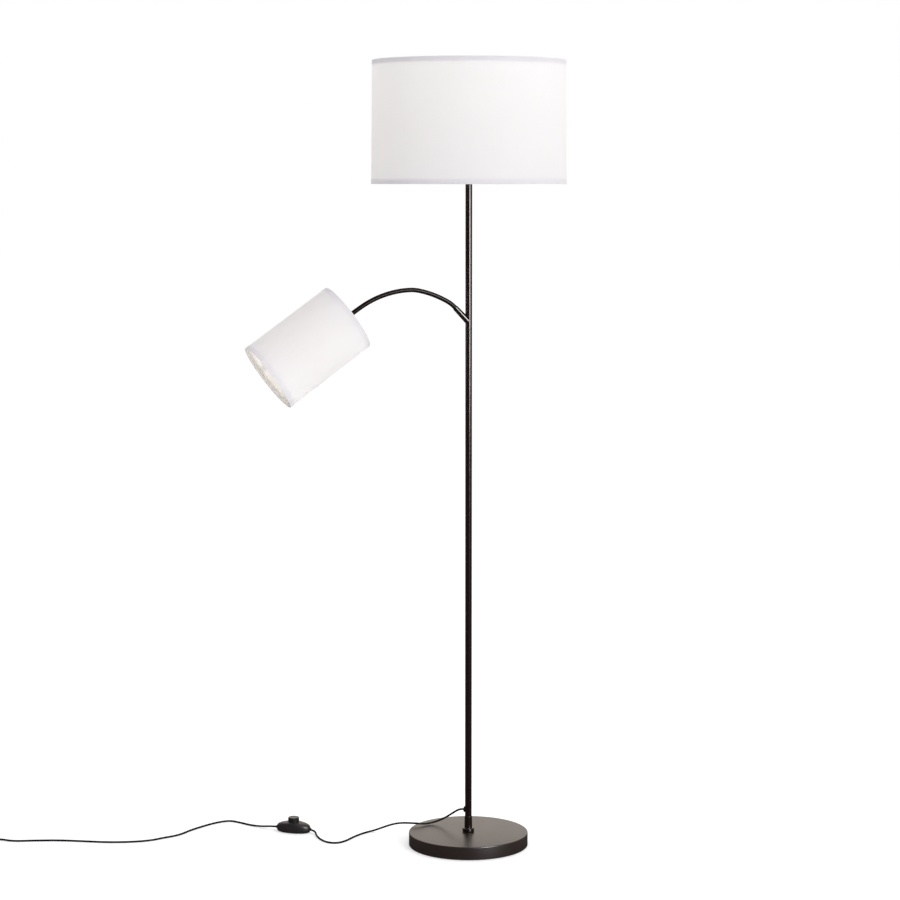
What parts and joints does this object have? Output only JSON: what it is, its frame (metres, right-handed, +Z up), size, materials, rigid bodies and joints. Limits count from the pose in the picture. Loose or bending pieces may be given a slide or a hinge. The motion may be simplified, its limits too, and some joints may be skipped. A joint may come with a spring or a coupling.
{
  "type": "floor lamp with reading light",
  "caption": "Floor lamp with a round base, slim pole, drum shade on top and a small shade on a bendable side arm, with a foot switch in its lead.",
  "frame": {"origin": "centre of the base's underside, on the floor", "axes": "+Z up along the pole, -X towards the reading arm, and the mains lead runs off towards -X and +Y"},
  "size_m": [1.2463, 0.6229, 1.633],
  "materials": {
    "base_enamel": "satin brown-black enamel",
    "pole_enamel": "satin black-brown enamel",
    "arm_sleeve": "smooth matt black sleeve over the bending tube",
    "black_plastic": "matt black moulding",
    "switch_plastic": "satin black moulding",
    "button_plastic": "satin dark grey moulding",
    "holder_plastic": "white moulding",
    "shade_fabric": "plain white woven cloth on a stiff lining",
    "shade_trim": "rolled cloth hem",
    "white_wire": "white enamelled wire",
    "zinc_steel": "zinc plated",
    "brass": "plain",
    "lamp_cap": "thin rolled shell",
    "opal_glass": "opal white",
    "concrete": "cast concrete",
    "foam_pad": "soft foam sheet",
    "cord_pvc": "satin black sheath",
    "white_lead": "white sheath",
    "spring_steel": "plain wire"
  },
  "bodies": {
    "stand": {"base_cover": "base_enamel", "base_weight": "concrete", "base_pad": "foam_pad", "base_nipple": "zinc_steel", "base_washer": "zinc_steel", "base_nut": "zinc_steel", "base_collar": "pole_enamel", "pole_lower": "pole_enamel", "pole_middle": "pole_enamel", "pole_upper": "pole_enamel", "pole_joiners": "zinc_steel", "outlet_bush": "black_plastic", "arm_socket": "pole_enamel", "pole_lead": "white_lead", "main_nipple": "zinc_steel", "main_holder_cap": "holder_plastic", "main_holder_body": "holder_plastic", "main_holder_ring": "holder_plastic", "main_holder_shell": "brass", "main_holder_contact": "brass", "main_bulb_cap": "lamp_cap", "main_bulb_glass": "opal_glass", "main_shade_fabric": "shade_fabric", "main_shade_trim": "shade_trim", "main_shade_fitter": "white_wire", "main_shade_rings": "white_wire", "gooseneck_1": "arm_sleeve", "gooseneck_lead": "white_lead", "switch_base": "switch_plastic", "switch_cover": "switch_plastic", "switch_spring": "spring_steel", "switch_contacts": "brass", "switch_screws": "zinc_steel", "switch_clamps": "black_plastic", "switch_reliefs": "black_plastic", "cord_to_switch": "cord_pvc", "cord_to_coil": "cord_pvc", "cord_coil": "cord_pvc", "cord_tie": "black_plastic", "plug_body": "black_plastic", "plug_pins": "brass"},
    "arm_1": {"gooseneck_2": "arm_sleeve"},
    "arm_2": {"gooseneck_3": "arm_sleeve"},
    "arm_3": {"gooseneck_4": "arm_sleeve"},
    "arm_4": {"gooseneck_5": "arm_sleeve"},
    "reading_head": {"gooseneck_6": "arm_sleeve", "head_ferrule": "pole_enamel", "reading_holder_cap": "black_plastic", "reading_holder_body": "holder_plastic", "reading_holder_ring": "holder_plastic", "reading_holder_shell": "brass", "reading_holder_contact": "brass", "reading_bulb_cap": "lamp_cap", "reading_bulb_glass": "opal_glass", "reading_shade_fabric": "shade_fabric", "reading_shade_trim": "shade_trim", "reading_shade_fitter": "white_wire", "reading_shade_rings": "white_wire"},
    "foot_button": {"switch_button": "button_plastic"}
  },
  "joints": [
    {"name": "arm_low_1", "type": "hinge", "parent": "stand", "child": "arm_1", "pos_m": [-0.04657, 0, 1.14406], "axis": [0, 1, 0], "range_deg": [-12, 18], "deforming": ["gooseneck_lead"]},
    {"name": "arm_low_2", "type": "hinge", "parent": "arm_1", "child": "arm_2", "pos_m": [-0.07651, 0, 1.15786], "axis": [0, 1, 0], "range_deg": [-12, 18]},
    {"name": "arm_swing", "type": "hinge", "parent": "arm_2", "child": "arm_3", "pos_m": [-0.12514, 0, 1.16821], "axis": [0, 0, 1], "range_deg": [-36, 36]},
    {"name": "arm_high_1", "type": "hinge", "parent": "arm_3", "child": "arm_4", "pos_m": [-0.18012, 0, 1.15864], "axis": [0, 1, 0], "range_deg": [-12, 20]},
    {"name": "arm_high_2", "type": "hinge", "parent": "arm_4", "child": "reading_head", "pos_m": [-0.22351, 0, 1.13841], "axis": [0, 1, 0], "range_deg": [-12, 20]},
    {"name": "foot_button", "type": "slide", "parent": "stand", "child": "foot_button", "axis": [0, 0, -1], "range_m": [0, 0.0035], "stiffness_N_per_m": 800, "springref_m": -0.003, "deforming": ["switch_spring"]}
  ],
  "couplings": [
    {"joint": "arm_low_2", "follows": "arm_low_1", "ratio": 1},
    {"joint": "arm_high_2", "follows": "arm_high_1", "ratio": 1}
  ]
}
